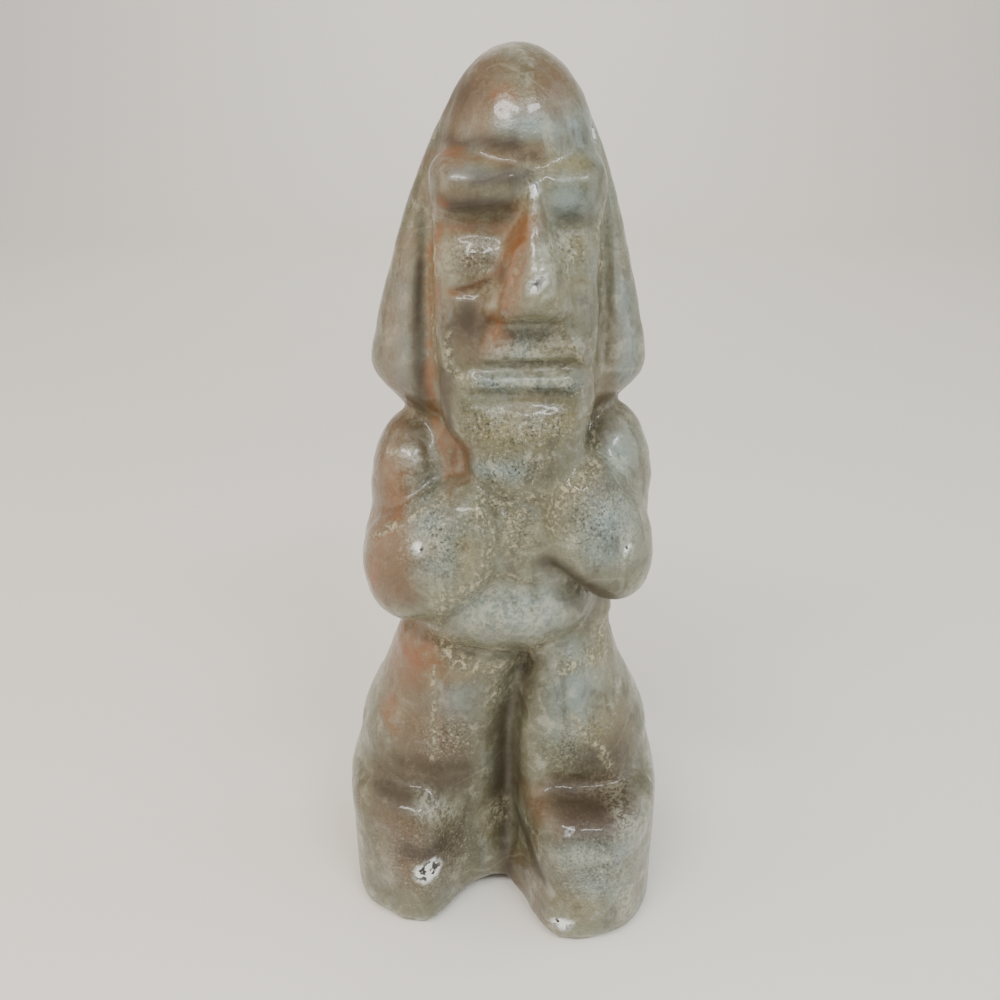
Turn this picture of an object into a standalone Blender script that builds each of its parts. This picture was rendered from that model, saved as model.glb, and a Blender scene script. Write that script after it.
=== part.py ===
"""A standing warrior figurine carved from one block of polished stone.

The figure wears a pointed hood with long side flaps and holds its forearms folded across the chest.
It stands on two blocky feet. It faces -Y, +X is the figure's left hand side, and +Z is up. The origin
is on the ground, under the middle of the figure.

The carving is laid out as shares of the figure's height, as a carver scales a figure up or down.
"""

import math

import bpy
import bmesh
from mathutils import Euler, Matrix, Vector
from mathutils.bvhtree import BVHTree

# Driving dimensions, in metres
FIGURE_HEIGHT = 0.180
FINEST_DETAIL = 0.0011
TRIANGLE_BUDGET = 9200

# Everything below is a share of FIGURE_HEIGHT, with x to the right seen from in front, y to the back.
# Right and left are the figure's own, so its left is at +x. Where the carver's two sides differ, a
# value is given for each.
SIDES = {"right": -1, "left": 1}

# The pointed hood: a bullet whose half width grows as a power of the distance below its tip
HOOD_TIP = 1.000
HOOD_WIDEST = 0.692
HOOD_HALF_WIDTH = 0.151
HOOD_POWER = 0.465
HOOD_DEPTH_RATIO = 0.64
HOOD_MIDDLE = 0.0045
HOOD_BACK_SHIFT = 0.0375
HOOD_LEAN = math.radians(8)
HOOD_SIDE_LEAN = math.radians(1.6)
HOOD_UNDERSIDE = 0.632
HOOD_NECK_HALF_WIDTH = 0.100
HOOD_STEPS = 14

# The rounded cap, cut level over the brow, and the back of the head
CAP_CENTRE = (0.012, -0.0025, 0.900)
CAP_RADII = (0.074, 0.084, 0.099)
CAP_EDGE = 0.9085
NAPE_CENTRE = (0.002, 0.0585, 0.72)
NAPE_RADII = (0.105, 0.068, 0.12)

# The face is a flat-fronted panel that stands out of the hood
FACE_LOW = (-0.067, -0.0735, 0.612)
FACE_HIGH = (0.093, 0.030, 0.925)
FACE_ROUNDING = 0.030
FACE_TURN = math.radians(4)
JAW_TOP = 0.690
JAW_NARROWING = 0.36
BROW_LOWS = {"right": (-0.066, -0.097, 0.861), "left": (0.031, -0.092, 0.858)}
BROW_HIGHS = {"right": (0.022, -0.040, 0.906), "left": (0.089, -0.040, 0.903)}
BROW_ROUNDING = 0.012
EYE_CENTRES = {"right": (-0.0225, -0.068, 0.8215), "left": (0.068, -0.064, 0.8235)}
EYE_RADII = {"right": (0.034, 0.022, 0.021), "left": (0.022, 0.020, 0.021)}
CHEEK_CENTRES = {"right": (-0.036, -0.056, 0.757), "left": (0.074, -0.052, 0.757)}
CHEEK_RADII = {"right": (0.036, 0.028, 0.042), "left": (0.024, 0.028, 0.046)}
NOSE_ROOT = (0.0255, -0.092, 0.893)
NOSE_TIP = (0.0320, -0.132, 0.800)
NOSE_FOOT_LOW = 0.786
NOSE_FOOT_BACK = -0.070
NOSE_FOOT_HALF_WIDTHS = {"right": 0.036, "left": 0.023}
NOSE_ROOT_HALF_WIDTHS = {"right": 0.014, "left": 0.009}
MUZZLE_CENTRE = (0.026, -0.052, 0.744)
MUZZLE_RADII = (0.052, 0.038, 0.032)
LOWER_LIP = {"right": (-0.044, -0.0775, 0.7035), "left": (0.078, -0.0740, 0.7030)}
LOWER_LIP_RADIUS = 0.0145
CHIN_BAND_LOW = (-0.045, -0.0845, 0.634)
CHIN_BAND_HIGH = (0.082, -0.040, 0.684)
CHIN_BAND_ROUNDING = 0.010
CHIN_CENTRE = (0.022, -0.057, 0.622)
CHIN_RADII = (0.062, 0.044, 0.060)

# The trunk behind the arms
CHEST_CENTRE = (0.0, 0.0335, 0.560)
CHEST_RADII = (0.118, 0.088, 0.130)
THROAT_CENTRE = (0.018, -0.050, 0.535)
THROAT_RADII = (0.046, 0.048, 0.056)
BREAST_CENTRE = (0.010, -0.0305, 0.500)
BREAST_RADII = (0.080, 0.056, 0.070)
BACK_CENTRE = (0.0, 0.0535, 0.480)
BACK_RADII = (0.118, 0.075, 0.220)
WAIST_CENTRE = (0.008, 0.018, 0.398)
WAIST_RADII = (0.121, 0.075, 0.065)
BELLY_CENTRE = (-0.004, -0.0165, 0.434)
BELLY_RADII = (0.108, 0.082, 0.062)

# Each arm, folded across the chest: a shoulder, and a forearm whose outline is given as x and z
SHOULDER_CENTRES = {"right": (-0.099, 0.0155, 0.553), "left": (0.114, 0.0155, 0.565)}
SHOULDER_RADII = {"right": (0.048, 0.070, 0.088), "left": (0.051, 0.070, 0.088)}
FOREARM_OUTLINES = {
    "right": ((-0.017, 0.612), (-0.084, 0.582), (-0.140, 0.552), (-0.160, 0.522), (-0.165, 0.488),
              (-0.158, 0.452), (-0.138, 0.424), (-0.105, 0.416), (-0.070, 0.424), (-0.004, 0.478),
              (0.014, 0.530)),
    "left": ((0.089, 0.630), (0.126, 0.602), (0.156, 0.566), (0.169, 0.530), (0.172, 0.495),
             (0.165, 0.467), (0.148, 0.448), (0.118, 0.444), (0.058, 0.488), (0.026, 0.535),
             (0.040, 0.604)),
}
FOREARM_FRONT = -0.120
FOREARM_BACK = 0.045
FOREARM_ROUNDING = 0.050
FOREARM_SWEEP = 0.30
FIST_MIDDLES = {"right": -0.045, "left": 0.070}

# Each leg: its course and the radius at each point
LEG_COURSES = {
    "right": (((-0.058, 0.0130, 0.340), 0.074), ((-0.084, 0.0270, 0.220), 0.088),
              ((-0.094, 0.0375, 0.120), 0.092)),
    "left": (((0.060, 0.0130, 0.340), 0.074), ((0.086, 0.0270, 0.220), 0.088),
             ((0.094, 0.0375, 0.120), 0.092)),
}
SEAT_CENTRE = (0.0, 0.0535, 0.300)
SEAT_RADII = (0.135, 0.078, 0.130)

# Each foot: its outline on the ground as x and y
FOOT_OUTLINES = {
    "right": ((-0.190, 0.120), (-0.194, -0.030), (-0.179, -0.074), (-0.152, -0.098), (-0.119, -0.114),
              (-0.082, -0.113), (-0.060, -0.086), (-0.039, -0.060), (-0.022, -0.038), (-0.016, 0.120)),
    "left": ((0.002, 0.120), (0.006, -0.030), (0.017, -0.060), (0.041, -0.116), (0.066, -0.140),
             (0.137, -0.133), (0.176, -0.098), (0.194, -0.047), (0.190, 0.120)),
}
FOOT_HEIGHT = 0.190
FOOT_SUNK = 0.012
FOOT_ROUNDING = 0.024
WEB_LOW = (-0.045, -0.054, 0.023)
WEB_HIGH = (0.040, 0.1035, 0.335)
WEB_ROUNDING = 0.012

# Grooves: their course as x and z seen from in front or behind, their radius and their depth
LEG_GROOVE = ((0.028, 0.350), (0.011, 0.300), (0.007, 0.200), (0.006, 0.070))
LEG_GROOVE_SIZE = (0.014, 0.022)
FLAP_GROOVES = {
    "right": ((-0.062, 0.905), (-0.073, 0.860), (-0.077, 0.780), (-0.077, 0.700), (-0.066, 0.630)),
    "left": ((0.088, 0.900), (0.096, 0.840), (0.100, 0.770), (0.103, 0.700), (0.096, 0.640)),
}
FLAP_GROOVE_SIZE = (0.011, 0.010)
MOUTH = ((-0.048, 0.720), (0.022, 0.7215), (0.078, 0.719))
UNDER_LIP = ((-0.044, 0.686), (0.022, 0.685), (0.082, 0.684))
FINE_GROOVE_SIZE = (0.008, 0.005)
FIST_GROOVE = ((0.022, 0.556), (0.020, 0.530), (0.017, 0.500))
FIST_GROOVE_SIZE = (0.013, 0.010)
BACK_GROOVE = ((0.0, 0.300), (0.0, 0.200), (0.0, 0.020))
BACK_GROOVE_SIZE = (0.014, 0.010)

GROOVE_STEPS = 5

STONE_COLOUR = (0.33, 0.34, 0.29, 1.0)
STONE_ROUGHNESS = 0.35


def scaled(point):
    """Turn a point given in shares of the height into metres."""
    return Vector(point) * FIGURE_HEIGHT


def clear_scene():
    """Remove every object that is already there."""
    for thing in list(bpy.data.objects):
        bpy.data.objects.remove(thing, do_unlink=True)


def new_collection(name):
    """Make a collection in the scene."""
    collection = bpy.data.collections.new(name)
    bpy.context.scene.collection.children.link(collection)
    return collection


def stone_material():
    """Grey-green polished stone."""
    material = bpy.data.materials.new("greenstone")
    material.use_nodes = True
    shader = material.node_tree.nodes["Principled BSDF"]
    shader.inputs["Base Color"].default_value = STONE_COLOUR
    shader.inputs["Roughness"].default_value = STONE_ROUGHNESS
    shader.inputs["Metallic"].default_value = 0.0
    return material


def stamp(block, make, matrix, **sizes):
    """Make one of the bmesh primitives, place it by a matrix and add it to the block."""
    shape = bmesh.new()
    make(shape, **sizes)
    bmesh.ops.transform(shape, matrix=matrix, verts=shape.verts)
    add_shape(block, shape)


def lump(block, centre, radii):
    """Add an egg-shaped lump to the block."""
    place = Matrix.Translation(scaled(centre)) @ Matrix.Diagonal((*scaled(radii), 1.0))
    stamp(block, bmesh.ops.create_uvsphere, place, u_segments=32, v_segments=20, radius=1.0)


def limb(block, start, end, start_radius, end_radius):
    """Add a tapered limb with round ends, from start to end."""
    for centre, radius in ((start, start_radius), (end, end_radius)):
        lump(block, centre, (radius, radius, radius))
    along = scaled(end) - scaled(start)
    middle = (scaled(start) + scaled(end)) / 2
    place = Matrix.Translation(middle) @ along.to_track_quat("Z", "Y").to_matrix().to_4x4()
    stamp(block, bmesh.ops.create_cone, place, cap_ends=True, segments=32, depth=along.length,
          radius1=start_radius * FIGURE_HEIGHT, radius2=end_radius * FIGURE_HEIGHT)


def slab(low, high, rounding):
    """A box between two corners, of its own bmesh, with all its edges rounded."""
    shape = bmesh.new()
    size = scaled(high) - scaled(low)
    middle = (scaled(high) + scaled(low)) / 2
    place = Matrix.Translation(middle) @ Matrix.Diagonal((*size, 1.0))
    bmesh.ops.create_cube(shape, size=1.0, matrix=place)
    bmesh.ops.bevel(shape, geom=shape.edges[:], offset=rounding * FIGURE_HEIGHT, segments=5, profile=0.5,
                    affect="EDGES")
    return shape


def outline_slab(near, far, rounding):
    """A slab of its own bmesh between two like outlines, the edges of its two faces rounded."""
    shape = bmesh.new()
    rings = [[shape.verts.new(scaled(point)) for point in ring] for ring in (near, far)]
    faces = [shape.faces.new(rings[0]), shape.faces.new(reversed(rings[1]))]
    rims = {edge for face in faces for edge in face.edges}
    for index in range(len(near)):
        after = (index + 1) % len(near)
        shape.faces.new((rings[0][index], rings[1][index], rings[1][after], rings[0][after]))
    bmesh.ops.recalc_face_normals(shape, faces=shape.faces)
    bmesh.ops.bevel(shape, geom=list(rims), offset=rounding * FIGURE_HEIGHT, segments=5, profile=0.5,
                    affect="EDGES")
    return shape


def add_shape(block, shape):
    """Add a finished bmesh to the block and free it."""
    mesh = bpy.data.meshes.new("shape")
    shape.to_mesh(mesh)
    shape.free()
    block.from_mesh(mesh)
    bpy.data.meshes.remove(mesh)


def hood(block):
    """Add the pointed hood: one profile turned about its axis, flattened front to back and tilted."""
    shape = bmesh.new()
    profile = [(0.0, HOOD_TIP)]
    for step in range(1, HOOD_STEPS + 1):
        share = (step / HOOD_STEPS) ** 2
        height = HOOD_TIP + (HOOD_WIDEST - HOOD_TIP) * share
        profile.append((HOOD_HALF_WIDTH * share ** HOOD_POWER, height))
    profile.append((HOOD_NECK_HALF_WIDTH, HOOD_UNDERSIDE))
    profile.append((0.0, HOOD_UNDERSIDE))
    line = [shape.verts.new((radius, 0, height - HOOD_WIDEST)) for radius, height in profile]
    edges = [shape.edges.new(pair) for pair in zip(line, line[1:])]
    bmesh.ops.spin(shape, geom=line + edges, axis=(0, 0, 1), cent=(0, 0, 0), angle=math.tau, steps=48,
                   use_duplicate=False)
    bmesh.ops.remove_doubles(shape, verts=shape.verts, dist=1e-6)
    flatten = Matrix.Diagonal((1.0, HOOD_DEPTH_RATIO, 1.0, 1.0))
    turning = Euler((HOOD_LEAN, HOOD_SIDE_LEAN, 0)).to_matrix().to_4x4()
    foot = Matrix.Translation(scaled((HOOD_MIDDLE, HOOD_BACK_SHIFT, HOOD_WIDEST)))
    place = foot @ turning @ Matrix.Scale(FIGURE_HEIGHT, 4) @ flatten
    bmesh.ops.transform(shape, matrix=place, verts=shape.verts)
    add_shape(block, shape)


def cap(block):
    """Add the rounded cap, an egg cut level at its edge over the brow."""
    shape = bmesh.new()
    place = Matrix.Translation(scaled(CAP_CENTRE)) @ Matrix.Diagonal((*scaled(CAP_RADII), 1.0))
    bmesh.ops.create_uvsphere(shape, u_segments=32, v_segments=20, radius=1.0, matrix=place)
    everything = shape.verts[:] + shape.edges[:] + shape.faces[:]
    bmesh.ops.bisect_plane(shape, geom=everything, plane_co=scaled((0, 0, CAP_EDGE)), plane_no=(0, 0, 1),
                           clear_inner=True)
    rim = [edge for edge in shape.edges if edge.is_boundary]
    bmesh.ops.edgeloop_fill(shape, edges=rim)
    add_shape(block, shape)


def head(block):
    """Add the hood, the cap, the nape and the face panel, which narrows to the chin."""
    hood(block)
    cap(block)
    lump(block, NAPE_CENTRE, NAPE_RADII)
    panel = slab(FACE_LOW, FACE_HIGH, FACE_ROUNDING)
    centre = (scaled(FACE_LOW) + scaled(FACE_HIGH)) / 2
    for corner in panel.verts:
        drop = max(0.0, (JAW_TOP - corner.co.z / FIGURE_HEIGHT) / (JAW_TOP - FACE_LOW[2]))
        corner.co.x += (centre.x - corner.co.x) * JAW_NARROWING * drop ** 2
    bmesh.ops.rotate(panel, cent=centre, matrix=Matrix.Rotation(FACE_TURN, 3, "Z"), verts=panel.verts)
    add_shape(block, panel)


def nose(block):
    """Add the nose: a wedge with one edge to the front, wider and level at its foot."""
    shape = bmesh.new()
    points = [NOSE_ROOT, NOSE_TIP, (NOSE_TIP[0], NOSE_TIP[1], NOSE_FOOT_LOW)]
    for side, way in SIDES.items():
        points.append((NOSE_ROOT[0] + way * NOSE_ROOT_HALF_WIDTHS[side], NOSE_FOOT_BACK, NOSE_ROOT[2]))
        points.append((NOSE_TIP[0] + way * NOSE_FOOT_HALF_WIDTHS[side], NOSE_FOOT_BACK, NOSE_FOOT_LOW))
    for point in points:
        shape.verts.new(scaled(point))
    bmesh.ops.convex_hull(shape, input=shape.verts)
    add_shape(block, shape)


def face(block):
    """Add the brow bars, the eyes, the cheeks, the nose, the lips and the chin."""
    for side in SIDES:
        add_shape(block, slab(BROW_LOWS[side], BROW_HIGHS[side], BROW_ROUNDING))
        lump(block, EYE_CENTRES[side], EYE_RADII[side])
        lump(block, CHEEK_CENTRES[side], CHEEK_RADII[side])
    nose(block)
    lump(block, MUZZLE_CENTRE, MUZZLE_RADII)
    limb(block, LOWER_LIP["right"], LOWER_LIP["left"], LOWER_LIP_RADIUS, LOWER_LIP_RADIUS)
    add_shape(block, slab(CHIN_BAND_LOW, CHIN_BAND_HIGH, CHIN_BAND_ROUNDING))
    lump(block, CHIN_CENTRE, CHIN_RADII)


def trunk(block):
    """Add the chest, the throat, the breast, the back, the waist and the belly."""
    lump(block, CHEST_CENTRE, CHEST_RADII)
    lump(block, THROAT_CENTRE, THROAT_RADII)
    lump(block, BREAST_CENTRE, BREAST_RADII)
    lump(block, BACK_CENTRE, BACK_RADII)
    lump(block, WAIST_CENTRE, WAIST_RADII)
    lump(block, BELLY_CENTRE, BELLY_RADII)


def forearm(block, side):
    """Add a forearm: a slab with rounded edges, which sweeps back from the fist to the elbow."""
    outline = FOREARM_OUTLINES[side]
    shape = outline_slab([(x, FOREARM_FRONT, z) for x, z in outline],
                         [(x, FOREARM_BACK, z) for x, z in outline], FOREARM_ROUNDING)
    for vertex in shape.verts:
        outward = SIDES[side] * (vertex.co.x - FIST_MIDDLES[side] * FIGURE_HEIGHT)
        vertex.co.y += FOREARM_SWEEP * max(0.0, outward)
    add_shape(block, shape)


def arms(block):
    """Add both arms, folded so that the fists meet under the chin."""
    for side in SIDES:
        lump(block, SHOULDER_CENTRES[side], SHOULDER_RADII[side])
        forearm(block, side)


def foot(block, side):
    """Add a foot: a slab on the foot's outline, its top and sole rounded at the edges."""
    outline = FOOT_OUTLINES[side]
    add_shape(block, outline_slab([(x, y, -FOOT_SUNK) for x, y in outline],
                                  [(x, y, FOOT_HEIGHT) for x, y in outline], FOOT_ROUNDING))


def legs(block):
    """Add both legs, the seat, the feet and the web of stone left between them."""
    for side in SIDES:
        course = LEG_COURSES[side]
        for (start, start_radius), (end, end_radius) in zip(course, course[1:]):
            limb(block, start, end, start_radius, end_radius)
        foot(block, side)
    lump(block, SEAT_CENTRE, SEAT_RADII)
    add_shape(block, slab(WEB_LOW, WEB_HIGH, WEB_ROUNDING))


def rough_figure(collection, material):
    """Join every form into one rough block, which the first Remesh melts together."""
    block = bmesh.new()
    head(block)
    face(block)
    trunk(block)
    arms(block)
    legs(block)
    bmesh.ops.recalc_face_normals(block, faces=block.faces)
    mesh = bpy.data.meshes.new("stone_figure")
    block.to_mesh(mesh)
    block.free()
    mesh.materials.append(material)
    figure = bpy.data.objects.new("stone_figure", mesh)
    collection.objects.link(figure)
    melt(figure, "melt the forms together", FINEST_DETAIL, 4)
    return figure


def melt(figure, name, voxel, smoothing):
    """Remesh the figure in small voxels and smooth away the steps."""
    remesh = figure.modifiers.new(name, "REMESH")
    remesh.mode = "VOXEL"
    remesh.voxel_size = voxel
    smooth = figure.modifiers.new(name + ", smoothed", "SMOOTH")
    smooth.factor = 0.5
    smooth.iterations = smoothing


def surface_depth(tree, x, z, toward):
    """The y where a line along y first meets the stone, coming from the front or the back."""
    start = Vector((x, -toward * 1.0, z))
    hit = tree.ray_cast(start, Vector((0, toward, 0)))[0]
    return hit.y


def groove(cutters, tree, name, course, size, toward=1):
    """A round-bottomed groove along the surface: a tube whose axis runs beside the stone's skin."""
    radius, depth = size
    curve = bpy.data.curves.new(name, "CURVE")
    curve.dimensions = "3D"
    curve.resolution_u = 8
    curve.bevel_depth = radius * FIGURE_HEIGHT
    curve.bevel_resolution = 3
    curve.use_fill_caps = True
    spline = curve.splines.new("POLY")
    points = []
    for (x0, z0), (x1, z1) in zip(course, course[1:]):
        for step in range(GROOVE_STEPS):
            share = step / GROOVE_STEPS
            points.append((x0 + (x1 - x0) * share, z0 + (z1 - z0) * share))
    points.append(course[-1])
    spline.points.add(len(points) - 1)
    for point, (x, z) in zip(spline.points, points):
        surface = surface_depth(tree, x * FIGURE_HEIGHT, z * FIGURE_HEIGHT, toward)
        axis = surface - toward * (radius - depth) * FIGURE_HEIGHT
        point.co = (x * FIGURE_HEIGHT, axis, z * FIGURE_HEIGHT, 1.0)
    tube = bpy.data.objects.new(name, curve)
    cutters.objects.link(tube)
    bpy.context.view_layer.update()
    solid_mesh = bpy.data.meshes.new_from_object(
        tube.evaluated_get(bpy.context.evaluated_depsgraph_get()))
    bpy.data.objects.remove(tube)
    welded = bmesh.new()
    welded.from_mesh(solid_mesh)
    bmesh.ops.remove_doubles(welded, verts=welded.verts, dist=1e-6)
    bmesh.ops.recalc_face_normals(welded, faces=welded.faces)
    welded.to_mesh(solid_mesh)
    welded.free()
    add_cutter(cutters, name, solid_mesh)


def add_cutter(cutters, name, mesh):
    """Put a cutter in its collection, drawn as wire and never rendered."""
    cutter = bpy.data.objects.new(name, mesh)
    cutter.hide_render = True
    cutter.display_type = "WIRE"
    cutters.objects.link(cutter)
    return cutter


def cut_with(figure, cutter):
    """Cut a cutter out of the figure. The exact solver empties a mesh this fine, so MANIFOLD cuts it."""
    cut = figure.modifiers.new("cut " + cutter.name, "BOOLEAN")
    cut.operation = "DIFFERENCE"
    cut.solver = "MANIFOLD"
    cut.object = cutter


def ground_cutter(cutters):
    """Everything below the ground, so that the soles end flat."""
    block = bmesh.new()
    bmesh.ops.create_cube(block, size=FIGURE_HEIGHT)
    bmesh.ops.translate(block, vec=(0, 0, -FIGURE_HEIGHT / 2), verts=block.verts)
    mesh = bpy.data.meshes.new("ground_cutter")
    block.to_mesh(mesh)
    block.free()
    return add_cutter(cutters, "ground_cutter", mesh)


def carve(figure, cutters):
    """Cut every groove into the block, melt the edges of the cuts and thin the mesh."""
    bpy.context.view_layer.update()
    tree = BVHTree.FromObject(figure, bpy.context.evaluated_depsgraph_get())
    groove(cutters, tree, "leg_groove", LEG_GROOVE, LEG_GROOVE_SIZE)
    for side, course in FLAP_GROOVES.items():
        groove(cutters, tree, "flap_groove_" + side, course, FLAP_GROOVE_SIZE)
    groove(cutters, tree, "mouth", MOUTH, FINE_GROOVE_SIZE)
    groove(cutters, tree, "under_lip", UNDER_LIP, FINE_GROOVE_SIZE)
    groove(cutters, tree, "fist_groove", FIST_GROOVE, FIST_GROOVE_SIZE)
    groove(cutters, tree, "back_groove", BACK_GROOVE, BACK_GROOVE_SIZE, -1)
    for cutter in cutters.objects:
        cut_with(figure, cutter)
    melt(figure, "soften the cuts", FINEST_DETAIL, 3)


def finish(figure, cutters):
    """Thin the mesh to the budget, cut the soles flat and set the finished mesh on its origin."""
    bpy.context.view_layer.update()
    carved = figure.evaluated_get(bpy.context.evaluated_depsgraph_get())
    triangles = sum(len(face.vertices) - 2 for face in carved.data.polygons)
    thin = figure.modifiers.new("thin the mesh", "DECIMATE")
    thin.ratio = TRIANGLE_BUDGET / triangles
    cut_with(figure, ground_cutter(cutters))
    bpy.context.view_layer.update()
    finished = bpy.data.meshes.new_from_object(
        figure.evaluated_get(bpy.context.evaluated_depsgraph_get()))
    figure.modifiers.clear()
    figure.data = finished
    xs = [vertex.co.x for vertex in finished.vertices]
    ys = [vertex.co.y for vertex in finished.vertices]
    middle = Vector(((min(xs) + max(xs)) / 2, (min(ys) + max(ys)) / 2, 0))
    for vertex in finished.vertices:
        vertex.co -= middle
    finished.shade_smooth()


def main():
    clear_scene()
    parts = new_collection("stone_warrior_figurine")
    cutters = new_collection("cutters")
    figure = rough_figure(parts, stone_material())
    carve(figure, cutters)
    finish(figure, cutters)


main()
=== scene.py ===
"""A stone warrior figurine, dressed for the camera.

The figure is one closed surface, worked out with numpy: every point of a grid of turns and heights is
pulled onto the zero level of one carving field. The field gives the distance to the stone's skin and is
built from lumps, limbs and blocks melted together, from which grooves are cut. Positions in the carving
are shares of the figure's height, with x to the right seen from in front, y to the back and z up.
"""
import math

import bpy
import numpy as np
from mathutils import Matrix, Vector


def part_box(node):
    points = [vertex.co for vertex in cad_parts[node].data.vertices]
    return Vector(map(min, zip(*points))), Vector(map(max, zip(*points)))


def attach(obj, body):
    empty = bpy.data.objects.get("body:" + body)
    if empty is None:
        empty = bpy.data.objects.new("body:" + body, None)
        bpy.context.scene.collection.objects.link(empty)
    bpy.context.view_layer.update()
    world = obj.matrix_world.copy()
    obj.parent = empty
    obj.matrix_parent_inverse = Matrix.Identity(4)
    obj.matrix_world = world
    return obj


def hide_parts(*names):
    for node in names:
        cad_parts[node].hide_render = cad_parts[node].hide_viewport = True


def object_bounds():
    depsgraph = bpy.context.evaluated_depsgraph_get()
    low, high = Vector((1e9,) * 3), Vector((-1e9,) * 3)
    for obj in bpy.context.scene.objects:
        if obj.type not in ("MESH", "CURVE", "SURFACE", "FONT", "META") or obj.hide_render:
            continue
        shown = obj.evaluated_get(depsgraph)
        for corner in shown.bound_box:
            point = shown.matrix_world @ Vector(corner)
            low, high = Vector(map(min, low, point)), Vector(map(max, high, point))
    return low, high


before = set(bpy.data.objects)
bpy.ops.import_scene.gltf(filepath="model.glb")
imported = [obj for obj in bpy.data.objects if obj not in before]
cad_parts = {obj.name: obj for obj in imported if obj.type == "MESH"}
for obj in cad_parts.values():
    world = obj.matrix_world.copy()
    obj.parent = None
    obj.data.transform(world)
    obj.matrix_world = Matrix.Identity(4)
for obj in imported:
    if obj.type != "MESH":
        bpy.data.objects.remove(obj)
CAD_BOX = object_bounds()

bl_info = {
    "name": "Stone Warrior Figurine",
    "version": (1, 0, 0),
    "blender": (4, 5, 0),
    "location": "View3D > Sidebar > Carving",
    "description": "Carves and finishes a small standing warrior of polished grey-green stone",
    "category": "Object",
}

STONE_NODE = "stone_figure"
FIGURE_HEIGHT = float(CAD_BOX[1][2] - CAD_BOX[0][2])

# The camera: sensor and lens in millimetres, degrees from straight down, and place in metres
CAMERA_SENSOR = 36.0
CAMERA_LENS = 33.624
CAMERA_TILT = 65.0
CAMERA_PLACE = (-0.00072, -0.16956, 0.17613)

# The pointed hood: where it is widest, and how it leans
HOOD_TIP = 1.000
HOOD_WIDEST = 0.692
HOOD_HALF_WIDTH = 0.151
HOOD_POWER = 2.15
HOOD_DEPTH_RATIO = 0.64
HOOD_FOOT = (0.0045, 0.0375, HOOD_WIDEST)
HOOD_DRIFT = 0.028
HOOD_LEAN = math.radians(8)
HOOD_UNDERSIDE = 0.632
HOOD_NECK_HALF_WIDTH = 0.100
CAP = ((0.012, -0.0025, 0.900), (0.0745, 0.084, 0.099))
CAP_EDGE = 0.9085
CAP_DROOP = 2.4
NAPE = ((0.002, 0.0585, 0.72), (0.105, 0.068, 0.12))

# The face panel, turned slightly, and the relief on it: middle x and z, half sizes and height
FACE_LOW = (-0.067, -0.0735, 0.612)
FACE_HIGH = (0.093, 0.030, 0.922)
FACE_ROUNDING = 0.030
FACE_TURN = math.radians(4)
JAW_TOP = 0.690
JAW_NARROWING = 0.36
TEMPLE_FOOT = 0.865
TEMPLE_NARROWING = 0.14
NARROWING_LIMIT = 1.5
BROWS = (((-0.022, 0.8835), (0.042, 0.0215), 0.023), ((0.060, 0.880), (0.029, 0.0215), 0.019))
BROW_SOFTNESS = (0.015, 0.015)
EYES = (((-0.0225, 0.8215), (0.029, 0.0165), 0.012), ((0.068, 0.8235), (0.019, 0.019), 0.008))
CHEEKS = (((-0.036, 0.757), (0.030, 0.034), 0.006), ((0.074, 0.757), (0.020, 0.040), 0.006))
CHIN_BAND = ((0.0185, 0.659), (0.064, 0.024), 0.009)
CHIN_SOFTNESS = (0.014, 0.016)
MUZZLE = ((0.026, 0.744), (0.050, 0.030), 0.008)
LIP_TOP = (0.026, 0.785, 0.026)
LIP_FOOT = (0.030, 0.722, 0.054)
LIP_HEIGHT = 0.008
LIP_SIDE_SOFTNESS = 0.007
LIP_TOP_FADE = (-0.35, 0.25)
LIP_FOOT_FADE = (-0.10, 0.16)
CHIN = ((0.022, -0.057, 0.622), (0.062, 0.044, 0.060))
# The nose from root to base: height, middle, front, and how far the front is cut back from the ridge
NOSE = ((0.893, 0.0255, -0.092, 0.002), (0.845, 0.0285, -0.112, 0.010), (0.816, 0.0315, -0.130, 0.024),
        (0.800, 0.032, -0.131, 0.032), (0.778, 0.030, -0.128, 0.048))
NOSE_SLOPES = (0.58, 0.40)
NOSE_UNDERCUT = 0.35
NOSE_BACK = -0.03
FACE_DEPTHS = (0.020, 0.060)

# Raised lines: the share that fades in at each end, then in thousandths of the height how high and how
# wide to each side, and x and z of each point of the course
RIDGES = (
    (0.18, 13, 11.5, -50, 703, 22, 704.5, 82, 703),
    (0.25, 8, 6.5, -52, 776, -58, 744, -55, 718, -42, 707), (0.15, 5, 5, -52, 797, -26, 801, -2, 814),
    (0.2, 4, 6, -6, 634, 22, 632, 52, 634), (0.2, 4, 6, 50, 838, 64, 843, 80, 838),
    (0.2, 4, 6, -64, 880, -69, 800, -67, 720),
)

# Grooves cut from in front: the same, with the depth in place of the height
GROOVES = (
    (0.12, 24, 16.5, 34, 380, 23, 345, 12, 305, 6, 250, 6, 170, 7, 60),
    (0.4, 8, 8, -60, 915, -73, 860, -77, 780, -77, 700, -66, 630),
    (0.4, 8, 8, 86, 910, 96, 840, 100, 770, 103, 700, 96, 640),
    (0.25, 5, 6.5, -22, 719, 28, 720, 80, 718), (0.25, 2, 8, -44, 684, 22, 683, 82, 682),
    (0.2, 6, 3.5, 18, 838, 11, 806, 4, 788), (0.3, 3, 6, -4, 790, -11, 765, -13, 740),
    (0.2, 3, 4, -54, 787, -26, 791.5, 2, 804.5), (0.25, 3, 4, -52, 840, -22, 846, 6, 836),
    (0.2, 3, 4, 46, 800, 62, 796, 80, 799), (0.2, 2, 3, 56, 785, 66, 750, 88, 708),
    (0.3, 8, 10, 22, 560, 20, 530, 17, 500), (0.35, 5, 12, 40, 206, 100, 194, 160, 176),
)

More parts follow.
